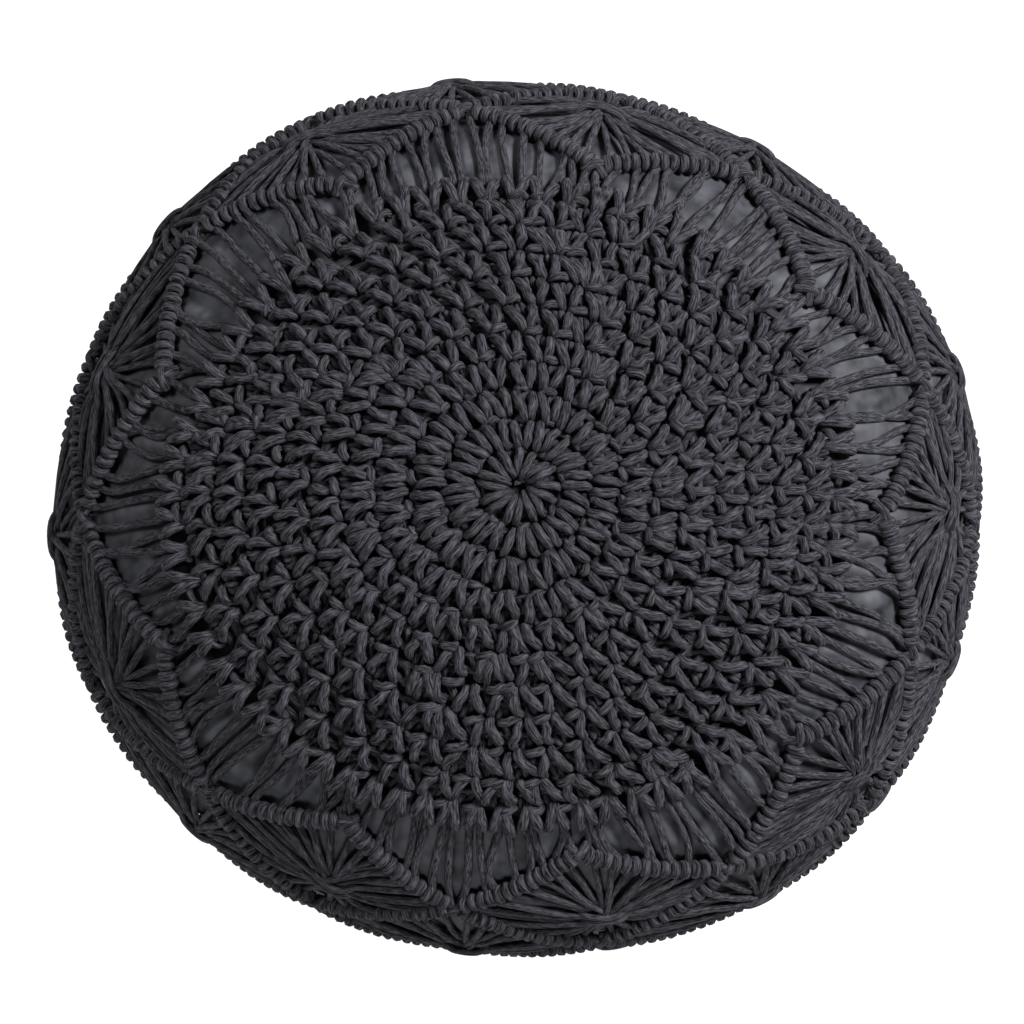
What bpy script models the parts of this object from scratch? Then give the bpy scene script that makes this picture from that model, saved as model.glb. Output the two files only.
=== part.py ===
"""Macrame pouf: a filled round casing, a crocheted top and a knotted net of cotton cord.

Metres, +Z up.  The origin is at the middle of the flat underside, +X runs along the
longer way across the slightly oval plan.

The casing is a filled cushion with a domed crown and a flat underside.  Everything made
of cord lies on it, so every piece is laid out in two surface coordinates: the arc length
from the crown down the side, and the turn about +Z.  The net is a lattice of diamonds
whose sides are raised rows of knots and whose middles are tied into stars.
"""
import math

import bmesh
import bpy
import numpy as np
from mathutils import Matrix, Vector

# Filled casing
LONG_RADIUS = 0.2665         # half the long way across the casing
SHORT_RADIUS = 0.2510        # half the short way across the casing
CROWN = 0.147                # from the widest level up to the crown of the casing
WIDEST = 0.140               # from the underside up to the widest level
FLAT_SHARE = 0.80            # share of the casing's radius that lies flat underneath
LOWER_FULLNESS = 2.6         # exponent of the lower side's curve, 2 is an ellipse

# Hand-made outline: low waves round the plan
OUTLINE_WAVES = [            # waves round, height, turn of the first crest in degrees
    (4, 0.0023, 38.0),
    (5, 0.0006, 40.5),
    (6, 0.0008, 19.0),
]

# Hand-made spacing: how far the net's repeats drift round from even spacing
NET_DRIFT = [                # waves round, size and turn of the first crest in degrees
    (1, 3.6, -110.0),
    (2, 1.6, 37.0),
    (3, 0.6, -16.0),
]

# Cord work, in heights above the casing and arc lengths from the crown
CORD = 0.006                 # diameter of the cord
GAP = 0.0003                 # between one piece and the next
CROCHET_HEIGHT = 0.011       # two cords lie over each other in a crochet stitch
KNOT_HEIGHT = 0.011          # a row of knots, wrapped round its carrying cord
LOOSE_HEIGHT = 0.006         # cords that lie straight on the casing
HOLE_RADIUS = 0.004          # the gap left inside the first round of crochet
HOLE_SHIFT = (0.008, 0.0065)     # the rounds were started a little off the crown
HOLE_REACH = 0.020           # the shift is taken up inside this radius
TOP_REACH = 0.196            # arc length from the crown to the edge of the crochet
PEAK_ARC = 0.220             # arc length from the crown to the first row of peaks
DIAMOND_DROP = 0.044         # arc length from a diamond's peak to its side corners
DIAMOND_ROWS = 4             # rows of diamonds, each set half a diamond on from the last
HEM_ARC = 0.462              # arc length from the crown to the last, level row of knots
HEM_WIDTH = 0.008

# Lattice
REPEATS = 9                  # diamonds in one row
CELLS = 3                    # grid cells along one side of a diamond
COLUMNS = REPEATS * 2 * CELLS
LATTICE_ROWS = CELLS * (DIAMOND_ROWS + 1)
LAST_PEAK_ARC = PEAK_ARC + DIAMOND_DROP * (DIAMOND_ROWS + 1)
FIRST_STAR = math.radians(7.2)   # turn of the first star from +X, before the drift

# Openings between the cords under the crochet's edge and above the hem
SLOTS = [                    # steps from the corner, half width at the edge, half width at the knots
    (0, 0.0050, 0.0080),
    (-1, 0.0025, 0.0045),
    (1, 0.0025, 0.0045),
]
SLOT_STEP = math.radians(5.0)    # turn from one opening to the next
SLOT_MARGIN = 0.009          # cord work left standing round an opening
CUTTER_DEPTH = 0.012         # how far a cutter reaches past both faces of the net

PROFILE_STEPS = 2000


def side_curve():
    """The casing's side from crown to floor: arc length, radius and height."""
    upper = np.linspace(0.0, math.pi / 2, PROFILE_STEPS)
    radius = LONG_RADIUS * np.sin(upper)
    height = WIDEST + CROWN * np.cos(upper)
    share = np.linspace(1.0, FLAT_SHARE, PROFILE_STEPS)[1:]
    fall = (1.0 - share ** LOWER_FULLNESS) ** (1.0 / LOWER_FULLNESS)
    radius = np.append(radius, LONG_RADIUS * share)
    height = np.append(height, WIDEST * (1.0 - fall / fall[-1]))
    steps = np.hypot(np.diff(radius), np.diff(height))
    return np.append(0.0, np.cumsum(steps)), radius, height


ARC, RADIUS, HEIGHT = side_curve()
FLOOR_ARC = float(ARC[-1])


def on_side(arc, lift):
    """Radius and height of the point that stands lift above the casing at arc."""
    span = 0.001
    below = min(arc + span, FLOOR_ARC)
    above = max(arc - span, 0.0)
    outward = np.interp(below, ARC, RADIUS) - np.interp(above, ARC, RADIUS)
    downward = np.interp(above, ARC, HEIGHT) - np.interp(below, ARC, HEIGHT)
    length = math.hypot(outward, downward)
    radius = np.interp(arc, ARC, RADIUS) + lift * downward / length
    height = np.interp(arc, ARC, HEIGHT) + lift * outward / length
    return float(radius), float(height)


def outline(turn):
    """How much further out than a plain oval the hand-made outline lies at a turn."""
    waves = [size * math.cos(count * (turn - math.radians(crest)))
             for count, size, crest in OUTLINE_WAVES]
    return 1.0 + sum(waves) / LONG_RADIUS


def drifted(turn):
    """Where an evenly spaced turn lies in the hand-made spacing."""
    waves = [size * math.cos(count * (turn - math.radians(crest)))
             for count, size, crest in NET_DRIFT]
    return turn + math.radians(sum(waves))


def to_plan(point):
    """Move a point of the even, round layout to its place in the oval, hand-made plan."""
    turn = drifted(math.atan2(point.y, point.x))
    reach = math.hypot(point.x, point.y) * outline(turn)
    oval = SHORT_RADIUS / LONG_RADIUS
    return Vector((reach * math.cos(turn), reach * math.sin(turn) * oval, point.z))


def material(name, colour, roughness):
    made = bpy.data.materials.new(name)
    made.use_nodes = True
    shader = made.node_tree.nodes["Principled BSDF"]
    shader.inputs["Base Color"].default_value = (*colour, 1.0)
    shader.inputs["Roughness"].default_value = roughness
    shader.inputs["Metallic"].default_value = 0.0
    return made


def add_object(name, mesh, collection, finish=None):
    made = bpy.data.objects.new(name, mesh)
    collection.objects.link(made)
    if finish:
        mesh.materials.append(finish)
        mesh.shade_smooth()
    return made


def applied(made):
    """Apply the object's modifiers to its mesh."""
    graph = bpy.context.evaluated_depsgraph_get()
    mesh = bpy.data.meshes.new_from_object(made.evaluated_get(graph))
    made.modifiers.clear()
    made.data = mesh
    return made


def turned(name, profile, closed, collection, finish):
    """Turn a profile of (radius, height) points about +Z, starting at the first star."""
    mesh = bpy.data.meshes.new(name)
    points = [(radius, 0.0, height) for radius, height in profile]
    edges = [(index, index + 1) for index in range(len(points) - 1)]
    if closed:
        edges.append((len(points) - 1, 0))
    mesh.from_pydata(points, edges, [])
    made = add_object(name, mesh, collection, finish)
    screw = made.modifiers.new("turn", "SCREW")
    screw.steps = COLUMNS
    screw.render_steps = COLUMNS
    screw.use_merge_vertices = True
    screw.merge_threshold = 0.00005
    screw.use_normal_calculate = True
    applied(made)
    made.data.transform(Matrix.Rotation(FIRST_STAR, 4, "Z"))
    return made


def shaped(made):
    """Give a turned piece its oval plan, with all its faces pointing out."""
    work = bmesh.new()
    work.from_mesh(made.data)
    for vertex in work.verts:
        vertex.co = to_plan(vertex.co)
    bmesh.ops.recalc_face_normals(work, faces=work.faces)
    work.to_mesh(made.data)
    work.free()
    made.data.shade_smooth()
    return made


def lattice_arcs():
    """Arc lengths of the grid rows from the first peaks to the last ones."""
    return [PEAK_ARC + DIAMOND_DROP * row / CELLS for row in range(LATTICE_ROWS + 1)]


def make_casing(collection):
    """The filled casing: a domed crown, full sides and a flat underside."""
    crown = [0.0, 0.030, 0.070, 0.110, 0.155, TOP_REACH]
    sides = lattice_arcs()[::2] + [HEM_ARC, FLOOR_ARC]
    profile = [on_side(arc, 0.0) for arc in crown + sides]
    profile[0] = (0.0, profile[0][1])
    profile[-1] = (profile[-1][0], 0.0)
    profile.append((0.0, 0.0))
    finish = material("casing_cloth", (0.060, 0.064, 0.078), 0.85)
    return shaped(turned("casing", profile, False, collection, finish))


def make_crochet_top(collection):
    """The crocheted round: a thick domed disc with the first round's gap in its middle."""
    rounded = 0.003
    face = [0.030, 0.070, 0.110, 0.155]
    outer = [(HOLE_RADIUS, CROCHET_HEIGHT - rounded), (HOLE_RADIUS + rounded, CROCHET_HEIGHT)]
    outer += [(arc, CROCHET_HEIGHT) for arc in face]
    outer += [(TOP_REACH - rounded, CROCHET_HEIGHT), (TOP_REACH, CROCHET_HEIGHT - rounded)]
    inner = [(TOP_REACH, GAP)]
    inner += [(arc, GAP) for arc in reversed(face)]
    inner += [(HOLE_RADIUS, 2.0 * GAP)]
    profile = [on_side(arc, lift) for arc, lift in outer + inner]
    finish = material("crochet_cord", (0.032, 0.032, 0.037), 0.9)
    made = shaped(turned("crochet_top", profile, True, collection, finish))
    for vertex in made.data.vertices:
        if math.hypot(vertex.co.x, vertex.co.y) < HOLE_REACH:
            vertex.co.x += HOLE_SHIFT[0]
            vertex.co.y += HOLE_SHIFT[1]
    return made


def relief(row, column):
    """Height of the net at a lattice point: knot rows and star ties stand proud."""
    period = 2 * CELLS
    sides = ((row + column) % period, (row - column) % period)
    if 0 in sides or sides == (CELLS, CELLS):
        return KNOT_HEIGHT
    return LOOSE_HEIGHT


def net_rows():
    """Rows of the net from the crochet's edge to the hem, as (arc, lattice row or None)."""
    edge = TOP_REACH + GAP
    rows = [(edge, None), (0.5 * (edge + PEAK_ARC), None)]
    rows += [(arc, row) for row, arc in enumerate(lattice_arcs())]
    rows += [(HEM_ARC, None), (HEM_ARC + HEM_WIDTH, None)]
    return rows


def net_height(index, column):
    """Height of the net's face at a grid point: loops at the edge, a knotted hem."""
    arc, row = net_rows()[index]
    if row is not None:
        return relief(row, column)
    if arc < TOP_REACH + CORD or arc >= HEM_ARC:
        return KNOT_HEIGHT
    return LOOSE_HEIGHT


def split_along_knots(work, verts):
    """Split each outer quad along the diagonal that follows a row of knots."""
    rows = len(net_rows())
    for index in range(rows - 1):
        for column in range(COLUMNS):
            following = (column + 1) % COLUMNS
            falling = net_height(index, column) + net_height(index + 1, following)
            rising = net_height(index, following) + net_height(index + 1, column)
            ends = (verts[index, column], verts[index + 1, following])
            if rising > falling:
                ends = (verts[index, following], verts[index + 1, column])
            quad = set(ends[0].link_faces) & set(ends[1].link_faces)
            bmesh.utils.face_split(quad.pop(), *ends)


def make_net_sheet(collection):
    """The net's outer form: a band round the casing with raised rows of knots."""
    rows = net_rows()
    outer = [on_side(arc, LOOSE_HEIGHT) for arc, _ in rows]
    inner = [on_side(arc, GAP) for arc, _ in reversed(rows)]
    finish = material("net_cord", (0.030, 0.030, 0.035), 0.9)
    made = turned("macrame_net", outer + inner, True, collection, finish)
    work = bmesh.new()
    work.from_mesh(made.data)
    places = {}
    for vertex in work.verts:
        turn = math.atan2(vertex.co.y, vertex.co.x) - FIRST_STAR
        column = round(turn / math.tau * COLUMNS) % COLUMNS
        reach = math.hypot(vertex.co.x, vertex.co.y)
        gaps = [math.hypot(reach - radius, vertex.co.z - height) for radius, height in outer]
        index = int(np.argmin(gaps))
        if gaps[index] < GAP:
            places[index, column] = vertex
    split_along_knots(work, places)
    for (index, column), vertex in places.items():
        radius, height = on_side(rows[index][0], net_height(index, column))
        scale = radius / math.hypot(vertex.co.x, vertex.co.y)
        vertex.co = Vector((vertex.co.x * scale, vertex.co.y * scale, height))
    work.to_mesh(made.data)
    work.free()
    return made


def slot_cutter(turn, ends, collection):
    """A tapered block through the net; ends holds its two arcs and half widths."""
    work = bmesh.new()
    bmesh.ops.create_cube(work, size=2.0)
    for vertex in work.verts:
        arc, half_width = ends[0] if vertex.co.x < 0.0 else ends[1]
        lift = LOOSE_HEIGHT + CUTTER_DEPTH if vertex.co.z > 0.0 else -CUTTER_DEPTH
        radius, height = on_side(arc, lift)
        side = half_width * vertex.co.y
        across = Vector((-math.sin(turn), math.cos(turn), 0.0)) * side
        vertex.co = Vector((radius * math.cos(turn), radius * math.sin(turn), height)) + across
        vertex.co = to_plan(vertex.co)
    mesh = bpy.data.meshes.new("slot")
    work.to_mesh(mesh)
    work.free()
    cutter = add_object("slot_cutter", mesh, collection)
    cutter.hide_render = True
    cutter.display_type = "WIRE"
    return cutter


def cut_slots(net, collection):
    """Cut the largest openings: between the cords beside each corner of the zigzags."""
    half_turn = math.pi / REPEATS
    corner_arc = PEAK_ARC + DIAMOND_DROP
    drop_a_step = DIAMOND_DROP * SLOT_STEP / half_turn
    _, narrowest, widest = SLOTS[0]
    for repeat in range(REPEATS):
        corner = FIRST_STAR + half_turn * (2 * repeat + 1)
        for step, narrow, wide in SLOTS:
            reach = corner_arc - abs(step) * drop_a_step - SLOT_MARGIN
            ends = ((TOP_REACH + SLOT_MARGIN, narrow), (reach, wide))
            add_slot(net, slot_cutter(corner + step * SLOT_STEP, ends, collection))
        low_arc = LAST_PEAK_ARC - DIAMOND_DROP + SLOT_MARGIN
        ends = ((low_arc, widest), (HEM_ARC - CORD, narrowest))
        add_slot(net, slot_cutter(corner + half_turn, ends, collection))


def add_slot(net, cutter):
    cut = net.modifiers.new("slot", "BOOLEAN")
    cut.operation = "DIFFERENCE"
    cut.solver = "EXACT"
    cut.object = cutter


def main():
    for old in list(bpy.data.objects):
        bpy.data.objects.remove(old, do_unlink=True)
    pieces = bpy.data.collections.new("macrame_pouf")
    cutters = bpy.data.collections.new("cutters")
    bpy.context.scene.collection.children.link(pieces)
    bpy.context.scene.collection.children.link(cutters)
    make_casing(pieces)
    make_crochet_top(pieces)
    net = shaped(make_net_sheet(pieces))
    cut_slots(net, cutters)


main()
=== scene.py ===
"""Macrame pouf: the visual model, its materials, the studio and the camera.

Every cord is laid out on the casing in surface coordinates: arc is the length from the
crown down the side, turn is the angle about +Z, and lift is the height above the cloth.
The casing's curve is worked out from the frame's box of the casing.
"""
import math

import bpy
import numpy as np
from mathutils import Matrix, Vector


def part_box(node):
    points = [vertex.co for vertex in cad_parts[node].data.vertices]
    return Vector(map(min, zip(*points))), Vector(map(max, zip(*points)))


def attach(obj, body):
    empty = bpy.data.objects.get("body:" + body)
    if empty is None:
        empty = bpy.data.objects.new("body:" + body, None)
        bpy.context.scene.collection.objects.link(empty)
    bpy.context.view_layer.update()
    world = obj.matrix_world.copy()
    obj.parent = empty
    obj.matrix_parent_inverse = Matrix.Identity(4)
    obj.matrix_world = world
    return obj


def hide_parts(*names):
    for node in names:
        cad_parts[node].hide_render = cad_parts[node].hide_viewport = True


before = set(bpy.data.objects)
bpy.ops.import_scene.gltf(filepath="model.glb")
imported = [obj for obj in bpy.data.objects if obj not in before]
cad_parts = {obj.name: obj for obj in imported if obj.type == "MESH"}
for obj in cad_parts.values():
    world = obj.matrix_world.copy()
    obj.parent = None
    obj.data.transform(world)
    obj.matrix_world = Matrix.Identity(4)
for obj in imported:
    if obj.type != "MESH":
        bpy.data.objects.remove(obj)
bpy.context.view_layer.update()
CASING_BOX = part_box("casing")
MM = 0.001
TURN = math.tau
PLACES = np.random.default_rng(11)   # small irregularities of hand work, the same each run

# Casing: shares of its height and of half its length
WIDEST_SHARE = 0.488         # the widest level, as a share of the height
FLAT_SHARE = 0.80            # share of the radius that lies flat underneath
LOWER_FULLNESS = 2.6         # exponent of the lower side's curve, 2 is an ellipse
OVAL = 0.2510 / 0.2665       # short way over long way
OUTLINE_WAVES = [            # waves round, height as a share of the radius, turn of a crest
    (4, 0.00863, math.radians(38.0)),
    (5, 0.00225, math.radians(40.5)),
    (6, 0.00300, math.radians(19.0)),
]
PROFILE_STEPS = 2000

# Cord
CORD_RADIUS = 2.75 * MM      # a thickness of 1 in the tables and functions below
CLEARANCE = 0.4 * MM         # between a cord and the cloth under it

# Crochet: closed rounds of stitches, worked clockwise from the middle
ROUNDS = [8, 16, 24, 30, 35, 38, 42, 46, 50, 53]    # stitches in each round
ROUND_PITCH = 18.15 * MM
RING_ARC = 5.0 * MM          # the first stitches start at a ring this far from the middle
FIRST_TOP = 23.5 * MM        # arc to the tops of the first round
FIRST_TURN = math.radians(165.0)     # where the rounds start
DIP = 10.0 * MM              # the last rounds sit this much further in after their start
DIP_TURNS = np.radians([-14.0, 8.0, 40.0, 85.0])     # past the start
DIP_SHARES = [0.0, 1.0, 0.35, 0.0]
DIP_FROM = 2.0               # the dip grows from this round on, up to the last one
LAST_ROUND = len(ROUNDS) - 1
STITCH_LIFT = 5.6 * MM       # from the lower to the upper layer of cord
STITCH_THICKNESS = 0.96      # the crochet's cord is worked a little tighter than the net's
STITCH_SAMPLES = 58          # points along the cord of one stitch
STITCH_SIDES = 8
MIDDLE_ROUNDS = 7            # the crochet is cut into two pieces after this many rounds
BACK_ROUNDS = 20             # rings of cord against the casing
BACK_START = 2.0 * MM
BACK_PITCH = 9.0 * MM
BACK_SAMPLES = 110           # points along one ring
BACK_DIP_START = 0.06        # the backs follow the edge's dip from this arc on
BACK_DIP_REACH = 0.12
NARROW_ARCS = [5.0 * MM, 11.0 * MM, 24.0 * MM, 45.0 * MM, 80.0 * MM]
NARROW_SHARES = [0.58, 0.86, 0.98, 0.98, 1.0]    # the cord is drawn tight near the middle
HOLE_SHIFT = (8.0 * MM, 6.5 * MM)    # the middle lies a little off the crown
HOLE_REACH = 0.190           # the shift has faded out at this arc

# One stitch of the outer rounds and one of the inner rounds, each from its foot:
# (sideways in stitches, outward in rounds, lift in layers, thickness)
OUTER_STITCH = [
    (-0.04, -0.01, -0.40, 0.84),     # comes up through the hole
    (-0.03, 0.04, 0.40, 0.94),       # long leg
    (0.00, 0.10, 0.98, 1.03),
    (0.04, 0.24, 1.22, 1.08),
    (0.08, 0.43, 1.28, 1.09),
    (0.10, 0.60, 1.14, 1.07),
    (0.10, 0.73, 0.66, 0.98),
    (0.14, 0.80, -0.25, 0.84),       # goes behind
    (0.22, 0.95, -0.15, 0.84),
    (0.25, 0.98, 0.50, 0.90),        # loop that caps the stitch
    (0.33, 1.01, 0.98, 0.95),
    (0.47, 1.06, 1.12, 0.97),
    (0.60, 1.12, 0.98, 0.95),
    (0.68, 1.15, 0.50, 0.90),
    (0.71, 1.12, -0.22, 0.82),       # goes behind
    (0.78, 1.02, 0.10, 0.76),        # first post, down
    (0.68, 0.87, 0.44, 0.74),
    (0.58, 0.72, 0.20, 0.76),
    (0.45, 0.56, -0.30, 0.80),
    (0.32, 0.60, -0.05, 0.76),       # second post, up
    (0.43, 0.78, 0.40, 0.74),
    (0.56, 0.94, 0.10, 0.76),
    (0.76, 0.98, -0.30, 0.84),
    (0.92, 0.92, -0.20, 0.86),
    (0.92, 0.85, 0.55, 0.97),        # short leg
    (0.87, 0.75, 1.00, 1.04),
    (0.74, 0.58, 1.16, 1.07),
    (0.57, 0.38, 1.12, 1.06),
    (0.38, 0.20, 0.82, 1.00),
    (0.24, 0.09, 0.00, 0.86),        # back down the hole
    (0.44, 0.38, -0.34, 0.82),       # up behind and on to the next foot
    (0.78, 0.72, 0.05, 0.84),
    (0.82, 0.54, 0.34, 0.88),
    (0.84, 0.36, 0.20, 0.86),
    (0.92, 0.14, -0.36, 0.82),
]
INNER_STITCH = [
    (-0.02, -0.03, -0.38, 0.80),
    (0.00, 0.03, 0.42, 0.88),
    (0.01, 0.11, 0.98, 0.96),
    (0.00, 0.27, 1.22, 1.02),
    (-0.03, 0.48, 1.32, 1.03),
    (-0.06, 0.70, 1.20, 1.00),
    (-0.08, 0.85, 0.66, 0.90),
    (-0.09, 0.92, -0.30, 0.80),
    (0.00, 0.95, -0.25, 0.80),
    (0.08, 0.98, 0.20, 0.88),
    (0.16, 1.00, 0.52, 0.92),
    (0.24, 1.02, 0.60, 0.92),
    (0.32, 1.02, 0.52, 0.92),
    (0.39, 1.00, 0.15, 0.88),
    (0.44, 0.96, -0.28, 0.82),
    (0.44, 0.84, -0.20, 0.82),
    (0.42, 0.72, -0.05, 0.84),
    (0.36, 0.62, -0.10, 0.84),
    (0.28, 0.55, -0.28, 0.82),
    (0.20, 0.60, -0.10, 0.82),
    (0.19, 0.74, 0.00, 0.84),
    (0.24, 0.88, -0.10, 0.84),
    (0.38, 0.92, -0.30, 0.82),
    (0.54, 0.92, -0.25, 0.82),
    (0.54, 0.87, 0.50, 0.88),
    (0.53, 0.75, 0.98, 0.96),
    (0.50, 0.54, 1.20, 1.01),
    (0.46, 0.33, 1.16, 1.00),
    (0.42, 0.16, 0.84, 0.93),
    (0.40, 0.05, -0.10, 0.82),
    (0.50, 0.30, -0.34, 0.82),
    (0.68, 0.50, -0.05, 0.84),
    (0.80, 0.48, 0.15, 0.86),
    (0.86, 0.30, 0.02, 0.84),
    (0.91, 0.12, -0.36, 0.80),
]
LEANS = [0.0, 0.1, 0.35, 0.6, 0.75, 0.8, 0.8, 0.8, 0.8, 0.8]    # of each round's stitches
BLEND = [0.0, 0.1, 0.4, 0.85, 1.0, 1.0, 1.0, 1.0, 1.0, 1.0]     # from inner to outer stitch
SHARING = [0.0, 0.0, 0.1, 0.35, 0.6, 0.7, 0.75, 0.75, 0.75, 0.75]   # how far feet share holes

# Net of diamonds
REPEATS = 9                  # diamonds round the pouf
FIRST_STAR = math.radians(7.2)
NET_DRIFT = [                # waves round, size and turn of the first crest
    (1, math.radians(3.6), math.radians(-110.0)),
    (2, math.radians(1.6), math.radians(37.0)),
    (3, math.radians(0.6), math.radians(-16.0)),
]
HALF_REPEAT = TURN / REPEATS / 2
PEAK_ARC = 0.220             # first row of peaks
DIAMOND_DROP = 0.044         # arc from a diamond's peak to its side corners
BANDS = 5                    # zigzag rows of knots
DIAMOND_ROWS = 4             # rows of stars
CORDS_PER_SIDE = 7           # cords knotted on each side of a diamond
HEM_ARC = 0.466              # the last, level row of knots

# Rows of knots
WRAPS = 2 * CORDS_PER_SIDE   # on each side of a diamond; a double half hitch is two wraps
COIL_RADIUS = 2.5 * MM
COIL_WIDTH = 1.42            # a wrap is this much wider than it is high
RIDGE_LIFT = COIL_RADIUS + CORD_RADIUS + CLEARANCE
RIDGE_CLEAR = 4.0 * MM       # wraps stop this far from a corner
WRAP_SQUARE = 0.86           # how square to the row a wrap is on its outer side, 1 is fully
WRAP_PAIRING = 0.16          # how far the two wraps of a knot draw together
WRAP_SAMPLES = 9
COIL_SIDES = 8

# Stars
STAR_DROP = 9.0 * MM         # a star's tie sits this far below the corner level
STAR_ASIDE = math.radians(1.6)       # and this far to one side
TIE_LENGTH = 30.0 * MM
TIE_STRANDS = 2

# Larks heads that hang the net on the crochet
HEADS = REPEATS * 2 * 4      # four on each side of every star
EVEN_TURNS = np.linspace(0.0, TURN, 721)[:-1]    # to read the net's drift backwards

# The cloth between the cords of the fans
SWELL = 2.6 * MM             # height of the cloth's swell between two pairs of cords
PUCKERS = [                  # waves round, height, slope along the arc, turn of the crest
    (31, 0.35 * MM, 90.0, 0.4),
    (57, 0.30 * MM, -140.0, 1.9),
    (94, 0.25 * MM, 60.0, 3.1),
    (131, 0.20 * MM, -220.0, 5.0),
]


def unit_outline(turn):
    """How far out the hand-made outline lies at a turn, as a share of a plain oval."""
    return 1.0 + sum(size * np.cos(count * (turn - crest)) for count, size, crest in OUTLINE_WAVES)


def long_radius():
    """Half the long way of the casing, from the frame's box."""
    turns = np.linspace(0.0, TURN, 721)
    reach = np.cos(turns) * unit_outline(turns)
    return (CASING_BOX[1][0] - CASING_BOX[0][0]) / (reach.max() - reach.min())


def side_curve():
    """The casing's side from crown to floor: arc length, radius and height."""
    reach = long_radius()
    top = CASING_BOX[1][2]
    widest = WIDEST_SHARE * top
    upper = np.linspace(0.0, math.pi / 2, PROFILE_STEPS)
    radius = reach * np.sin(upper)
    height = widest + (top - widest) * np.cos(upper)
    share = np.linspace(1.0, FLAT_SHARE, PROFILE_STEPS)[1:]
    fall = (1.0 - share ** LOWER_FULLNESS) ** (1.0 / LOWER_FULLNESS)
    radius = np.append(radius, reach * share)
    height = np.append(height, widest * (1.0 - fall / fall[-1]))
    steps = np.hypot(np.diff(radius), np.diff(height))
    return np.append(0.0, np.cumsum(steps)), radius, height


ARC, RADIUS, HEIGHT = side_curve()
OUTWARD = -np.gradient(HEIGHT, ARC)
UPWARD = np.gradient(RADIUS, ARC)
FLOOR_ARC = float(ARC[-1])


def place(arc, turn, lift):
    """Points in space that stand lift above the casing."""
    radius = np.interp(arc, ARC, RADIUS) + lift * np.interp(arc, ARC, OUTWARD)
    height = np.interp(arc, ARC, HEIGHT) + lift * np.interp(arc, ARC, UPWARD)
    reach = radius * unit_outline(turn)
    return np.stack([reach * np.cos(turn), reach * np.sin(turn) * OVAL, height], axis=-1)


def drifted(turn):
    """Where an evenly spaced turn of the net lies in its hand-made spacing."""
    return turn + sum(size * np.cos(count * (turn - crest)) for count, size, crest in NET_DRIFT)


def on_net(arc, turn, lift):
    """Points in space for the evenly spaced turns of the net."""
    return place(arc, drifted(turn), lift)


def metres_round(arc):
    """Length of one radian of turn at an arc."""
    return np.interp(arc, ARC, RADIUS) * (1.0 + OVAL) / 2


def unit(vectors):
    """The same directions with a length of one."""
    return vectors / np.linalg.norm(vectors, axis=-1, keepdims=True)


def smooth(points, samples):
    """Catmull-Rom curves through points (..., count, values), read at samples places."""
    count = points.shape[-2]
    along = np.linspace(0.0, count - 1, samples)
    index = np.minimum(along.astype(int), count - 2)
    step = (along - index)[:, None]
    before = points[..., np.maximum(index - 1, 0), :]
    start = points[..., index, :]
    end = points[..., index + 1, :]
    after = points[..., np.minimum(index + 2, count - 1), :]
    linear = end - before
    square = 2.0 * before - 5.0 * start + 4.0 * end - after
    cube = 3.0 * start - before - 3.0 * end + after
    return start + 0.5 * step * (linear + step * (square + step * cube))


def carried_frames(paths):
    """Two directions across each path (paths, points, 3) that turn as little as they can."""
    along = unit(np.gradient(paths, axis=1))
    across = np.empty_like(paths)
    start = np.cross(along[:, 0], np.array([0.31, 0.17, 0.93]))
    across[:, 0] = unit(start)
    for index in range(1, paths.shape[1]):
        last = across[:, index - 1]
        here = along[:, index]
        across[:, index] = unit(last - np.sum(last * here, axis=1, keepdims=True) * here)
    return across, np.cross(along, across)


def tube_arrays(paths, thickness, sides):
    """Vertices, faces and strand coordinates of closed tubes round paths (paths, points, 3)."""
    number, points, _ = paths.shape
    across, up = carried_frames(paths)
    angles = np.arange(sides) * TURN / sides
    radius = (CORD_RADIUS * thickness)[:, :, None, None]
    ring = across[:, :, None] * np.cos(angles)[:, None] + up[:, :, None] * np.sin(angles)[:, None]
    vertices = paths[:, :, None] + radius * ring
    steps = np.linalg.norm(np.diff(paths, axis=1), axis=2)
    length = np.concatenate([np.zeros((number, 1)), np.cumsum(steps, axis=1)], axis=1)
    length = length + np.arange(number)[:, None] * 0.37
    strand = np.empty_like(vertices)
    strand[..., 0] = CORD_RADIUS * np.cos(angles)
    strand[..., 1] = CORD_RADIUS * np.sin(angles)
    strand[..., 2] = length[:, :, None]
    index = np.arange(number * points * sides).reshape(number, points, sides)
    after = np.roll(index, -1, axis=2)
    quads = np.stack([index[:, :-1], after[:, :-1], after[:, 1:], index[:, 1:]], axis=-1)
    caps = np.concatenate([index[:, 0, ::-1], index[:, -1]])
    return vertices.reshape(-1, 3), quads.reshape(-1, 4), caps, strand.reshape(-1, 3)


def mesh_from(name, vertices, quads, caps, strand):
    """One mesh from arrays of four-sided faces and of end caps."""
    mesh = bpy.data.meshes.new(name)
    corners = np.concatenate([quads.ravel(), caps.ravel()])
    counts = np.concatenate([np.full(len(quads), 4), np.full(len(caps), caps.shape[1])])
    starts = np.concatenate([[0], np.cumsum(counts)[:-1]])
    mesh.vertices.add(len(vertices))
    mesh.vertices.foreach_set("co", vertices.astype(np.float32).ravel())
    mesh.loops.add(len(corners))
    mesh.loops.foreach_set("vertex_index", corners.astype(np.int32))
    mesh.polygons.add(len(counts))
    mesh.polygons.foreach_set("loop_start", starts.astype(np.int32))
    mesh.update(calc_edges=True)
    layer = mesh.attributes.new("strand", "FLOAT_VECTOR", "POINT")
    layer.data.foreach_set("vector", strand.astype(np.float32).ravel())
    mesh.validate()
    mesh.shade_smooth()
    return mesh


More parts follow.
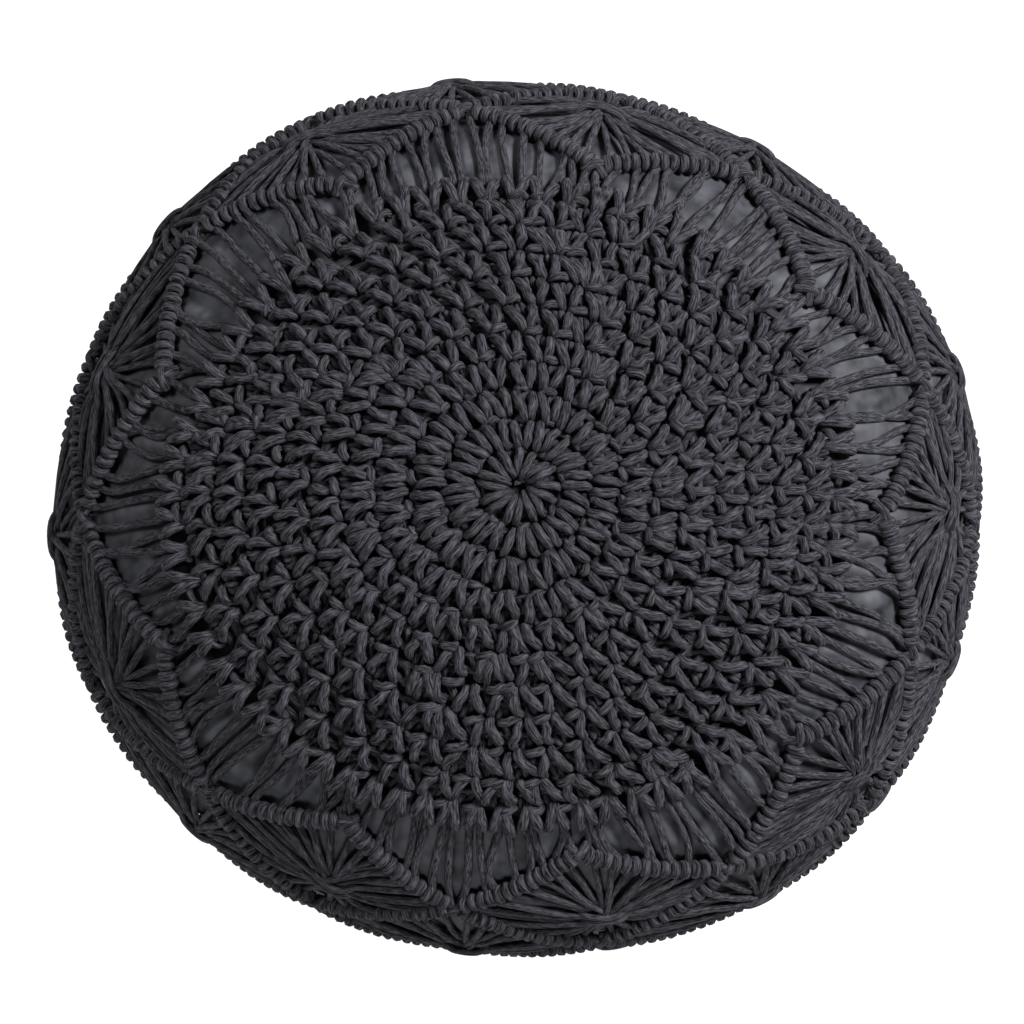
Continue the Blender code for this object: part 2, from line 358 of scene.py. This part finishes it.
def cord_piece(name, groups, finish, node, sides=COIL_SIDES):
    """One object of many cords; groups holds (paths, thickness) pairs."""
    parts = []
    shift = 0
    for paths, thickness in groups:
        vertices, quads, caps, strand = tube_arrays(paths, thickness, sides)
        parts.append((vertices, quads + shift, caps + shift, strand))
        shift += len(vertices)
    vertices, quads, caps, strand = (np.concatenate(column) for column in zip(*parts))
    piece = bpy.data.objects.new(name, mesh_from(name, vertices, quads, caps, strand))
    bpy.context.scene.collection.objects.link(piece)
    piece.data.materials.append(finish)
    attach(piece, "root")
    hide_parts(node)
    return piece


# ---------------------------------------------------------------- crochet

def stitch_places():
    """Each stitch's round, and its foot and top as turns worked and as arcs."""
    tops = [(number + 1.0) / ROUNDS[0] for number in range(ROUNDS[0])]
    feet = [(number + 0.9) / ROUNDS[0] for number in range(ROUNDS[0])]
    rounds = [0] * ROUNDS[0]
    first = 0
    for level in range(1, len(ROUNDS)):
        holes = np.array(tops[first:])
        around = np.concatenate([holes - 1.0, holes, holes + 1.0])
        share = np.arange(ROUNDS[level]) * ROUNDS[level - 1] / ROUNDS[level]
        shared = np.floor(share + 1e-6) + (share % 1.0) * (1.0 - SHARING[level])
        hole = ROUNDS[level - 1] + shared
        foot = 1.0 + np.interp(hole, np.arange(len(around)), around)
        wide = np.array([np.interp(hole + step, np.arange(len(around)), around)
                         for step in (-1.5, -0.5, 0.5, 1.5)])
        top = 1.0 + wide.mean(axis=0) - LEANS[level] / ROUNDS[level]
        first = len(tops)
        tops += list(top)
        feet += list(foot)
        rounds += [level] * ROUNDS[level]
    rounds = np.array(rounds)
    feet = np.array(feet)
    tops = np.array(tops)
    foot_arcs = round_arc(rounds - 1, feet)
    foot_arcs[rounds == 0] = RING_ARC
    return rounds, feet, foot_arcs, tops, round_arc(rounds, tops)


def round_arc(level, worked):
    """Arc of a round's tops; the outer rounds dip after their start and grow back."""
    after = np.mod(worked * TURN + math.pi, TURN) - math.pi
    dip = DIP * np.interp(after, DIP_TURNS, DIP_SHARES)
    grown = np.clip((level - DIP_FROM) / (LAST_ROUND - DIP_FROM), 0.0, 1.0)
    return FIRST_TOP + ROUND_PITCH * level - dip * grown


def turn_at(worked):
    """Turn about +Z after so many rounds have been worked, clockwise seen from above."""
    return FIRST_TURN - TURN * worked


ROUND_OF, FEET, FOOT_ARCS, TOPS, TOP_ARCS = stitch_places()


def shifted(arc, turn):
    """The rounds' middle lies off the crown, and the shift fades towards the edge."""
    fade = np.clip(1.0 - arc / HOLE_REACH, 0.0, 1.0)
    across = arc * np.cos(turn) + HOLE_SHIFT[0] * fade
    up = arc * np.sin(turn) + HOLE_SHIFT[1] * fade
    return np.hypot(across, up), np.arctan2(up, across)


def crochet_path():
    """Control points (points, 4) of the one cord that the whole round is worked from."""
    count = np.array(ROUNDS)[ROUND_OF][:, None]
    blend = np.array(BLEND)[ROUND_OF][:, None, None]
    plan = (1.0 - blend) * np.array(INNER_STITCH) + blend * np.array(OUTER_STITCH)
    loose = PLACES.normal(0.0, 1.0, (*plan.shape[:2], 3))
    whole = PLACES.normal(0.0, 1.0, (len(TOPS), 1, 4))
    side = plan[..., 0] + loose[..., 0] * 0.024 + whole[..., 0] * 0.05
    side = side + whole[..., 3] * (0.20 - 0.12 * blend[..., 0]) * (plan[..., 1] - 0.5)
    out = plan[..., 1] + loose[..., 1] * 0.02 + whole[..., 1] * (0.05 - 0.02 * blend[..., 0])
    layer = plan[..., 2] + loose[..., 2] * 0.06 + whole[..., 2] * 0.09
    inner = np.clip(out, 0.0, 1.0)
    worked = FEET[:, None] + (TOPS - FEET)[:, None] * inner + side / count
    arc = FOOT_ARCS[:, None] + (TOP_ARCS - FOOT_ARCS)[:, None] * out
    narrow = np.interp(arc, NARROW_ARCS, NARROW_SHARES)
    lift = CLEARANCE + CORD_RADIUS + STITCH_LIFT * layer
    arc, turn = shifted(arc.ravel(), turn_at(worked).ravel())
    points = place(arc, turn, lift.ravel())
    thickness = (STITCH_THICKNESS * plan[..., 3] * narrow).reshape(-1, 1)
    return np.concatenate([points, thickness], axis=1)


def back_path():
    """The backs of the stitches: cord lying round and round against the casing."""
    turns = np.linspace(0.0, BACK_ROUNDS, BACK_ROUNDS * BACK_SAMPLES)
    arc = BACK_START + BACK_PITCH * turns
    turn = turn_at(turns)
    dip = ROUND_PITCH * LAST_ROUND + FIRST_TOP - edge_arc(turn)
    arc = arc - dip * np.clip((arc - BACK_DIP_START) / BACK_DIP_REACH, 0.0, 1.0)
    arc, turn = shifted(arc, turn)
    lift = np.full_like(arc, CLEARANCE + 0.9 * CORD_RADIUS)
    thickness = np.full((len(arc), 1), 0.88)
    return np.concatenate([place(arc, turn, lift), thickness], axis=1)


def make_crochet(finish):
    """The crochet in pieces: the cord's path is cut once, after the rounds of the middle."""
    path = crochet_path()
    middle = sum(ROUNDS[:MIDDLE_ROUNDS]) * len(OUTER_STITCH)
    back = back_path()[None]
    pieces = [cord_piece("crochet_backs", [(back[..., :3], back[..., 3])], finish,
                         "crochet_top", 6)]
    for name, part in (("crochet_middle", path[:middle + 1]), ("crochet_rim", path[middle:])):
        samples = len(part) * STITCH_SAMPLES // len(OUTER_STITCH)
        part = smooth(part[None], samples)
        pieces.append(cord_piece(name, [(part[..., :3], part[..., 3])], finish,
                                 "crochet_top", STITCH_SIDES))
    return pieces


# ---------------------------------------------------------------- net

def edge_arc(turn):
    """Arc of the crochet's edge at a turn: the tops of the last round."""
    return round_arc(LAST_ROUND, (FIRST_TURN - turn) / TURN)


def surface_paths(arc, turn, lift, thickness, samples):
    """Smooth paths and thicknesses through control points given in surface coordinates."""
    points = np.concatenate([on_net(arc, turn, lift), thickness[..., None]], axis=-1)
    smoothed = smooth(points, samples)
    return smoothed[..., :3], smoothed[..., 3]


def head_turns():
    """Turns of the larks heads: four pairs of cords on each side of every star."""
    return FIRST_STAR + (np.arange(HEADS) + 0.5) * TURN / HEADS


def make_heads(finish):
    """Larks heads: two short legs over the edge of the crochet from each folded cord."""
    turns = head_turns()
    groups = []
    for side in (-1.0, 1.0):
        slant = PLACES.normal(0.0, 1.7, HEADS) * MM
        reach = PLACES.normal(0.0, 1.3, HEADS) * MM
        base = edge_arc(drifted(turns))
        wide = metres_round(base)
        # (outward, sideways, lift, thickness) in millimetres
        leg = np.array([
            (-3.0, 0.6, 2.5, 0.85),
            (-0.5, 1.4, 7.2, 0.98),
            (4.5, 2.8, 10.0, 1.04),
            (10.0, 4.4, 9.2, 1.04),
            (14.0, 5.4, 5.8, 1.0),
            (13.5, 4.4, 2.8, 0.9),
            (8.0, 2.5, 2.6, 0.85),
        ])
        out = base[:, None] + leg[:, 0] * MM + reach[:, None] * np.array([0, 0, 0.5, 1, 1, 1, 0])
        sideways = (side * leg[:, 1] * MM)[None] + slant[:, None] * np.linspace(0.0, 1.0, len(leg))
        turn = turns[:, None] + sideways / wide[:, None]
        lift = np.broadcast_to(leg[:, 2] * MM + CLEARANCE, out.shape)
        thick = np.broadcast_to(1.1 * leg[:, 3], out.shape)
        groups.append(surface_paths(out, turn, lift, thick, 15))
    return cord_piece("larks_heads", groups, finish, "macrame_net")


def side_offset(turn):
    """Turn from the nearest star, as a share of the way to the next corner, with its sign."""
    folded = np.mod(turn - FIRST_STAR + HALF_REPEAT, 2 * HALF_REPEAT) - HALF_REPEAT
    return folded / HALF_REPEAT


def make_upper_fans(finish):
    """Cords in pairs from the larks heads to the first zigzag of knots."""
    groups = []
    for side in (-1.0, 1.0):
        turns = head_turns()
        base = edge_arc(drifted(turns)) + 5.0 * MM
        # each pair parts by about a wrap either way on its way down
        ends = turns + side * 1.15 * HALF_REPEAT / WRAPS * PLACES.normal(1.0, 0.42, HEADS)
        end_arc = PEAK_ARC + DIAMOND_DROP * np.abs(side_offset(ends))
        share = np.array([0.0, 0.22, 0.5, 0.78, 1.0, 1.12])
        width = metres_round(0.5 * (base + end_arc))
        bend = PLACES.normal(0.0, 2.6, (HEADS, 1)) * MM * np.sin(share * math.pi)
        wave = PLACES.normal(0.0, 1.4, (HEADS, 1)) * MM * np.sin(share * TURN)
        arc = base[:, None] + (end_arc - base)[:, None] * share
        start = turns + side * 2.6 * MM / width
        turn = start[:, None] + (ends - start)[:, None] * share + (bend + wave) / width[:, None]
        rise = np.array([3.2, 3.4, 3.0, 3.0, 3.4, 3.6]) * MM + CLEARANCE
        lift = np.broadcast_to(rise, arc.shape) + PLACES.normal(0.0, 0.25, arc.shape) * MM
        even = 1.0 + PLACES.normal(0.0, 0.05, (HEADS, 1))
        thick = even * np.array([0.80, 0.86, 0.86, 0.86, 0.86, 0.80])
        groups.append(surface_paths(arc, turn, lift, thick, 16))
    return cord_piece("upper_fan_cords", groups, finish, "macrame_net")


def band_ends(band):
    """Start and end (arc, turn) arrays of one zigzag's sides, from its upper corners down."""
    offset = 0.0 if band % 2 == 0 else HALF_REPEAT
    corners = FIRST_STAR + offset + np.arange(REPEATS) * 2 * HALF_REPEAT
    upper = np.concatenate([corners, corners])
    hand = np.concatenate([np.ones(REPEATS), -np.ones(REPEATS)])
    top = PEAK_ARC + DIAMOND_DROP * band
    return top, upper, top + DIAMOND_DROP, upper + hand * HALF_REPEAT, hand


def coil_paths(top, upper, bottom, lower, hand, wraps):
    """Cord wound round lines on the casing: tight, and fullest on the outer side."""
    phase = np.linspace(0.0, wraps * TURN, wraps * WRAP_SAMPLES + 1) + math.pi
    packed = phase - WRAP_SQUARE * np.sin(phase) + WRAP_PAIRING * np.sin(0.5 * phase)
    share = (packed - packed[0]) / (packed[-1] - packed[0])
    share = share[None, :]
    line_arc = top + (bottom - top) * share
    line_turn = upper[:, None] + (lower - upper)[:, None] * share
    line_arc = np.broadcast_to(line_arc, line_turn.shape)
    centre = on_net(line_arc, line_turn, RIDGE_LIFT)
    outward = unit(on_net(line_arc, line_turn, RIDGE_LIFT + MM) - centre)
    along = unit(on_net(line_arc + (bottom - top) * 0.001,
                        line_turn + (lower - upper)[:, None] * 0.001, RIDGE_LIFT) - centre)
    across = np.cross(along, outward) * hand[:, None, None]
    size = COIL_RADIUS * (1.0 + PLACES.normal(0.0, 0.03, (len(hand), wraps + 2)))
    place_in_row = np.clip(phase / TURN, 0, wraps + 1).astype(int)
    radius = size[:, place_in_row][..., None]
    paths = centre + radius * (np.cos(phase)[:, None] * outward
                               + COIL_WIDTH * np.sin(phase)[:, None] * across)
    thickness = np.broadcast_to(0.84 + 0.12 * (1.0 + np.cos(phase)), paths.shape[:2])
    return paths, thickness


def make_band(band, finish):
    """One zigzag of double half hitches."""
    top, upper, bottom, lower, hand = band_ends(band)
    length = math.hypot(DIAMOND_DROP, HALF_REPEAT * metres_round(top + DIAMOND_DROP / 2))
    trim = RIDGE_CLEAR / length
    drop = bottom - top
    turn = lower - upper
    wound = coil_paths(top + trim * drop, upper + trim * turn, bottom - trim * drop,
                       lower - trim * turn, hand, WRAPS)
    return cord_piece(f"knot_row_{band + 1}", [wound], finish, "macrame_net")


def make_corner_knots(finish):
    """Where two rows of knots cross: one cord crosses over the other."""
    groups = []
    for level in range(BANDS + 1):
        offset = 0.0 if level % 2 == 0 else HALF_REPEAT
        turns = FIRST_STAR + offset + np.arange(REPEATS) * 2 * HALF_REPEAT
        arc = PEAK_ARC + DIAMOND_DROP * level
        wide = metres_round(arc)
        # the second cord crosses over the first
        for hand, rise in ((1.0, 0.0), (-1.0, 1.5)):
            reach = np.array([-1.0, -0.75, -0.35, 0.0, 0.35, 0.75, 1.0])
            rises = np.array([2.2, 4.2, 6.2, 6.9, 6.2, 4.2, 2.2]) + rise
            out = np.broadcast_to(arc + 4.2 * MM * reach, (REPEATS, 7))
            turn = turns[:, None] + hand * 6.0 * MM * reach / wide
            lift = np.broadcast_to(rises * MM, (REPEATS, 7))
            groups.append(surface_paths(out, turn, lift, np.full((REPEATS, 7), 0.98), 13))
    return cord_piece("corner_knots", groups, finish, "macrame_net")


def star_centres():
    """Arc and turn of every star, row by row."""
    arcs = []
    turns = []
    for row in range(DIAMOND_ROWS):
        offset = 0.0 if row % 2 == 0 else HALF_REPEAT
        arcs.append(np.full(REPEATS, PEAK_ARC + DIAMOND_DROP * (row + 1)))
        turns.append(FIRST_STAR + offset + np.arange(REPEATS) * 2 * HALF_REPEAT)
    return np.concatenate(arcs), np.concatenate(turns)


def tie_shift(away):
    """How far towards a star's tie, aside and below its centre, a cord is drawn."""
    share = 1.0 - np.abs(away)
    return STAR_DROP * share, STAR_ASIDE * share


def make_star_cords(finish):
    """Cords from the upper sides of each diamond, through its tie, to the lower sides."""
    arcs, turns = star_centres()
    number = len(arcs)
    groups = []
    for order in range(CORDS_PER_SIDE):
        share = (order + 0.75) / CORDS_PER_SIDE
        for side in (-1.0, 1.0):
            bow = 4.5 * MM * max(math.sin(math.pi * (1.0 - share) / 0.75), 0.0)
            sideways = HALF_REPEAT * share
            drop = DIAMOND_DROP * (1.0 - share)
            above = 1.9 * (order % 2) + 0.25 * order
            bundle = 3.4 + 1.5 * (order % 3) + 0.7 * (1.0 + side)
            spread = (order - (CORDS_PER_SIDE - 1) / 2) * 0.9
            # (share of the way out from the tie, bow, lift, thickness, bundle's spread)
            legs = np.array([
                (1.03, 0.0, 3.2, 0.78, 0.0),
                (0.90, 0.5, 3.0 + 0.7 * above, 0.80, 0.0),
                (0.55, 1.0, 3.2 + above, 0.77, 0.2),
                (0.27, 0.7, 3.6 + above, 0.72, 0.6),
                (0.09, 0.1, bundle, 0.62, 1.0),
                (-0.09, -0.1, bundle, 0.62, 1.0),
                (-0.27, -0.7, 3.6 + above, 0.72, 0.6),
                (-0.55, -1.0, 3.2 + above, 0.77, 0.2),
                (-0.90, -0.5, 3.0 + 0.7 * above, 0.80, 0.0),
                (-1.03, 0.0, 3.2, 0.78, 0.0),
            ])
            away = legs[:, 0]
            loose = PLACES.normal(0.0, 1.0, (2, number, len(legs))) * MM
            bent = PLACES.normal(0.0, 1.6, (number, 1)) * MM * (1.0 - away ** 2)
            below, aside = tie_shift(away)
            arc = arcs[:, None] + below - drop * away - bow * legs[:, 1]
            arc = arc + spread * legs[:, 4] * MM + 0.7 * loose[0] + bent
            turn = turns[:, None] + aside + side * sideways * away
            lift = legs[:, 2] * MM + CLEARANCE + 0.35 * loose[1]
            thick = legs[:, 3] * (1.0 + PLACES.normal(0.0, 0.06, (number, 1)))
            groups.append(surface_paths(arc, turn, lift, thick, 19))
    return cord_piece("star_cords", groups, finish, "macrame_net", 7)


def make_star_ties(finish):
    """The tie across each star: strands that part a little and dip in at both ends."""
    arcs, turns = star_centres()
    number = len(arcs)
    wide = metres_round(arcs)[:, None]
    reach = np.array([-0.5, -0.42, -0.28, -0.1, 0.1, 0.28, 0.42, 0.5])
    rises = np.array([3.0, 6.6, 9.5, 10.4, 10.4, 9.5, 6.6, 3.0])
    groups = []
    for strand in range(TIE_STRANDS):
        apart = (strand - (TIE_STRANDS - 1) / 2) * (3.6 + 7.0 * np.abs(reach)) * MM
        sway = 1.2 * MM * np.sin(reach * TURN) + PLACES.normal(0.0, 0.4, (number, 1)) * MM
        arc = arcs[:, None] + STAR_DROP + apart + sway
        turn = turns[:, None] + STAR_ASIDE + TIE_LENGTH * reach / wide
        lift = np.broadcast_to(rises * MM, arc.shape)
        thick = np.full(arc.shape, 0.66)
        groups.append(surface_paths(arc, turn, lift, thick, 17))
    return cord_piece("star_ties", groups, finish, "macrame_net")


def make_lower_fans(finish):
    """Cords from the last zigzag down to the hem."""
    number = REPEATS * 2 * CORDS_PER_SIDE
    turns = FIRST_STAR + (np.arange(number) + 0.5) * TURN / number
    top = PEAK_ARC + DIAMOND_DROP * (BANDS - 1) + DIAMOND_DROP * np.abs(side_offset(turns))
    share = np.array([-0.08, 0.2, 0.5, 0.8, 1.0])
    arc = top[:, None] + (HEM_ARC - top)[:, None] * share
    wave = PLACES.normal(0.0, 0.8, (number, 1)) * MM * np.sin(share * TURN)
    turn = turns[:, None] + wave / metres_round(HEM_ARC)
    lift = np.full(arc.shape, 3.3 * MM) + CLEARANCE
    thick = np.full(arc.shape, 0.88)
    paths = surface_paths(arc, turn, lift, thick, 12)
    return cord_piece("lower_fan_cords", [paths], finish, "macrame_net")


def make_hem(finish):
    """The last, level row of double half hitches."""
    corners = FIRST_STAR + np.arange(REPEATS * 2) * HALF_REPEAT
    ones = np.ones(len(corners))
    wound = coil_paths(HEM_ARC, corners, HEM_ARC, corners + HALF_REPEAT * 1.02, ones, WRAPS)
    return cord_piece("hem_knots", [wound], finish, "macrame_net")


# ---------------------------------------------------------------- casing

def fan_relief(arc, turn):
    """How far the cloth swells between the cords of the upper fans."""
    even = np.interp(turn, drifted(EVEN_TURNS), EVEN_TURNS, period=TURN)
    top = edge_arc(turn) + 6.0 * MM
    bottom = PEAK_ARC + DIAMOND_DROP * np.abs(side_offset(even)) - 2.0 * MM
    share = np.clip((arc - top) / (bottom - top), 0.0, 1.0)
    between = 0.5 + 0.5 * np.cos(HEADS * (even - FIRST_STAR))
    puckers = np.zeros_like(turn)
    for waves, size, slope, crest in PUCKERS:
        puckers += size * np.cos(waves * turn + slope * arc + crest)
    return np.sin(math.pi * share) ** 0.7 * (SWELL * between + puckers)


def make_casing(finish):
    """The filled casing."""
    rings = 120
    columns = 480
    # the rings lie closest where the cloth shows between the cords
    arcs = np.interp(np.arange(rings), [0, 10, 20, 90, rings - 1],
                     [0.0, 0.14, 0.17, 0.27, FLOOR_ARC])
    turns = np.arange(columns) * TURN / columns
    arc, turn = np.meshgrid(arcs[1:], turns, indexing="ij")
    side = place(arc, turn, fan_relief(arc, turn))
    flat = [side[-1] * np.array([scale, scale, 1.0]) for scale in (0.9, 0.75, 0.5, 0.25)]
    grid = np.concatenate([side, np.array(flat)])
    vertices = np.concatenate([place(0.0, 0.0, 0.0)[None], grid.reshape(-1, 3),
                               np.array([[0.0, 0.0, 0.0]])])
    rows = len(grid)
    index = 1 + np.arange(rows * columns).reshape(rows, columns)
    after = np.roll(index, -1, axis=1)
    faces = np.stack([index[:-1], index[1:], after[1:], after[:-1]], axis=-1).reshape(-1, 4)
    last = len(vertices) - 1
    caps = [(0, a, b) for a, b in zip(index[0], after[0])]
    caps += [(last, b, a) for a, b in zip(index[-1], after[-1])]
    mesh = bpy.data.meshes.new("filled_casing")
    mesh.from_pydata(vertices.tolist(), [], faces.tolist() + caps)
    mesh.shade_smooth()
    piece = bpy.data.objects.new("filled_casing", mesh)
    bpy.context.scene.collection.objects.link(piece)
    piece.data.materials.append(finish)
    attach(piece, "root")
    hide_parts("casing")
    return piece


# ---------------------------------------------------------------- materials

def new_material(name):
    """A material with its nodes and links."""
    made = bpy.data.materials.new(name)
    made.use_nodes = True
    return made, made.node_tree.nodes, made.node_tree.links


def noise(nodes, links, vector, scale, detail):
    """The value of a noise texture read at a vector."""
    made = nodes.new("ShaderNodeTexNoise")
    made.inputs["Scale"].default_value = scale
    made.inputs["Detail"].default_value = detail
    made.inputs["Roughness"].default_value = 0.6
    links.new(vector, made.inputs["Vector"])
    return made.outputs["Fac"]


def cotton_cord(name, dark, light):
    """Soft cotton cord: fibres run along it, lighter where they catch the light."""
    made, nodes, links = new_material(name)
    shader = nodes["Principled BSDF"]
    shader.inputs["Roughness"].default_value = 0.92
    shader.inputs["Specular IOR Level"].default_value = 0.15
    strand = nodes.new("ShaderNodeAttribute")
    strand.attribute_name = "strand"
    along = nodes.new("ShaderNodeMapping")
    along.inputs["Scale"].default_value = (1.0, 1.0, 0.15)
    links.new(strand.outputs["Vector"], along.inputs["Vector"])
    fibres = noise(nodes, links, along.outputs["Vector"], 1500.0, 2.0)
    tufts = noise(nodes, links, strand.outputs["Vector"], 420.0, 2.0)
    spread = nodes.new("ShaderNodeMapRange")
    spread.inputs["From Min"].default_value = 0.39
    spread.inputs["From Max"].default_value = 0.68
    links.new(fibres, spread.inputs["Value"])
    mixed = nodes.new("ShaderNodeMix")
    mixed.data_type = "RGBA"
    mixed.inputs["A"].default_value = (*dark, 1.0)
    mixed.inputs["B"].default_value = (*light, 1.0)
    links.new(spread.outputs["Result"], mixed.inputs["Factor"])
    links.new(mixed.outputs["Result"], shader.inputs["Base Color"])
    height = nodes.new("ShaderNodeMath")
    height.operation = "MULTIPLY_ADD"
    links.new(tufts, height.inputs[0])
    height.inputs[1].default_value = 0.6
    links.new(fibres, height.inputs[2])
    bump = nodes.new("ShaderNodeBump")
    bump.inputs["Strength"].default_value = 1.0
    bump.inputs["Distance"].default_value = 0.6 * MM
    links.new(height.outputs["Value"], bump.inputs["Height"])
    links.new(bump.outputs["Normal"], shader.inputs["Normal"])
    return made


def casing_cloth():
    """Slate grey cloth with shallow creases; its colour has soft lighter and darker patches of
    painted light and shade.
    """
    made, nodes, links = new_material("slate_plain_weave")
    shader = nodes["Principled BSDF"]
    shader.inputs["Roughness"].default_value = 0.7
    shader.inputs["Specular IOR Level"].default_value = 0.35
    where = nodes.new("ShaderNodeTexCoord")
    # painted light and shade: soft lighter and darker patches in the cloth's colour, from near
    # black to slate
    patches = noise(nodes, links, where.outputs["Object"], 55.0, 2.0)
    creases = noise(nodes, links, where.outputs["Object"], 70.0, 1.0)
    mixed = nodes.new("ShaderNodeMix")
    mixed.data_type = "RGBA"
    mixed.inputs["A"].default_value = (0.013, 0.014, 0.018, 1.0)
    mixed.inputs["B"].default_value = (0.106, 0.109, 0.126, 1.0)
    spread = nodes.new("ShaderNodeMapRange")
    spread.inputs["From Min"].default_value = 0.30
    spread.inputs["From Max"].default_value = 0.72
    links.new(patches, spread.inputs["Value"])
    links.new(spread.outputs["Result"], mixed.inputs["Factor"])
    links.new(mixed.outputs["Result"], shader.inputs["Base Color"])
    bump = nodes.new("ShaderNodeBump")
    bump.inputs["Strength"].default_value = 0.7
    bump.inputs["Distance"].default_value = 4.0 * MM
    links.new(creases, bump.inputs["Height"])
    links.new(bump.outputs["Normal"], shader.inputs["Normal"])
    return made


def studio_white():
    """The floor's white, which glows evenly so that it carries no shadow."""
    made, nodes, _ = new_material("studio_white")
    shader = nodes["Principled BSDF"]
    shader.inputs["Base Color"].default_value = (0.2, 0.2, 0.2, 1.0)
    shader.inputs["Roughness"].default_value = 1.0
    shader.inputs["Emission Color"].default_value = (1.0, 1.0, 1.0, 1.0)
    shader.inputs["Emission Strength"].default_value = 0.98
    return made


# ---------------------------------------------------------------- studio and camera

CAMERA_TURN = math.radians(-52.0)    # the camera leans this way out from straight above
CAMERA_RISE = math.radians(85.0)
UP_TURN = math.radians(98.0)         # this turn points up in the picture
CAMERA_DISTANCE = 2.2                # from the widest level
CAMERA_LENS = 130.5
AIM_ASIDE = (-2.2 * MM, 2.2 * MM)    # the aim lies left of and above the middle


def make_floor():
    """Plain pale floor."""
    bpy.ops.mesh.primitive_plane_add(size=12.0, location=(0.0, 0.0, -0.5 * MM))
    floor = bpy.context.object
    floor.name = "floor"
    floor.data.materials.append(studio_white())


def add_area(name, turn, rise, distance, size, power):
    """A soft square light that faces the pouf."""
    light = bpy.data.lights.new(name, "AREA")
    light.shape = "SQUARE"
    light.size = size
    light.energy = power
    made = bpy.data.objects.new(name, light)
    bpy.context.scene.collection.objects.link(made)
    flat = math.cos(rise)
    made.location = (distance * flat * math.cos(turn), distance * flat * math.sin(turn),
                     distance * math.sin(rise))
    made.rotation_euler = made.location.to_track_quat("Z", "Y").to_euler()
    return made


def make_lights():
    """A soft key light from the right of the picture, two weaker fills and a dim room."""
    add_area("key", math.radians(35.0), math.radians(47.0), 2.4, 0.6, 79.0)
    add_area("left fill", math.radians(155.0), math.radians(38.0), 2.4, 0.8, 18.0)
    add_area("front fill", math.radians(275.0), math.radians(38.0), 2.4, 0.8, 18.0)
    world = bpy.data.worlds.new("room")
    world.use_nodes = True
    world.node_tree.nodes["Background"].inputs["Color"].default_value = (1.0, 1.0, 1.0, 1.0)
    world.node_tree.nodes["Background"].inputs["Strength"].default_value = 0.04
    bpy.context.scene.world = world


def make_camera():
    """The camera, almost straight above and a little off to the front."""
    middle = Vector((0.0, 0.0, WIDEST_SHARE * CASING_BOX[1][2]))
    flat = math.cos(CAMERA_RISE)
    back = Vector((flat * math.cos(CAMERA_TURN), flat * math.sin(CAMERA_TURN),
                   math.sin(CAMERA_RISE)))
    up = Vector((math.cos(UP_TURN), math.sin(UP_TURN), 0.0))
    up = (up - up.dot(back) * back).normalized()
    right = up.cross(back)
    aim = middle + right * AIM_ASIDE[0] + up * AIM_ASIDE[1]
    data = bpy.data.cameras.new("camera")
    data.lens = CAMERA_LENS
    data.sensor_width = 36.0
    camera = bpy.data.objects.new("camera", data)
    bpy.context.scene.collection.objects.link(camera)
    rotation = Matrix((right, up, back)).transposed()
    camera.matrix_world = Matrix.Translation(aim + back * CAMERA_DISTANCE) @ rotation.to_4x4()
    bpy.context.scene.camera = camera


def main():
    """Build every piece, then the studio and the camera."""
    crochet_cotton = cotton_cord("crochet_cotton", (0.007, 0.007, 0.009), (0.098, 0.094, 0.112))
    net_cotton = cotton_cord("net_cotton", (0.007, 0.007, 0.009), (0.098, 0.094, 0.112))
    make_casing(casing_cloth())
    for piece in make_crochet(crochet_cotton):
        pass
    net = [make_heads(net_cotton), make_upper_fans(net_cotton)]
    net += [make_band(band, net_cotton) for band in range(BANDS)]
    net += [make_corner_knots(net_cotton), make_star_cords(net_cotton)]
    net += [make_star_ties(net_cotton), make_lower_fans(net_cotton), make_hem(net_cotton)]
    make_floor()
    make_lights()
    make_camera()
    bpy.context.scene.view_settings.view_transform = "Standard"


main()
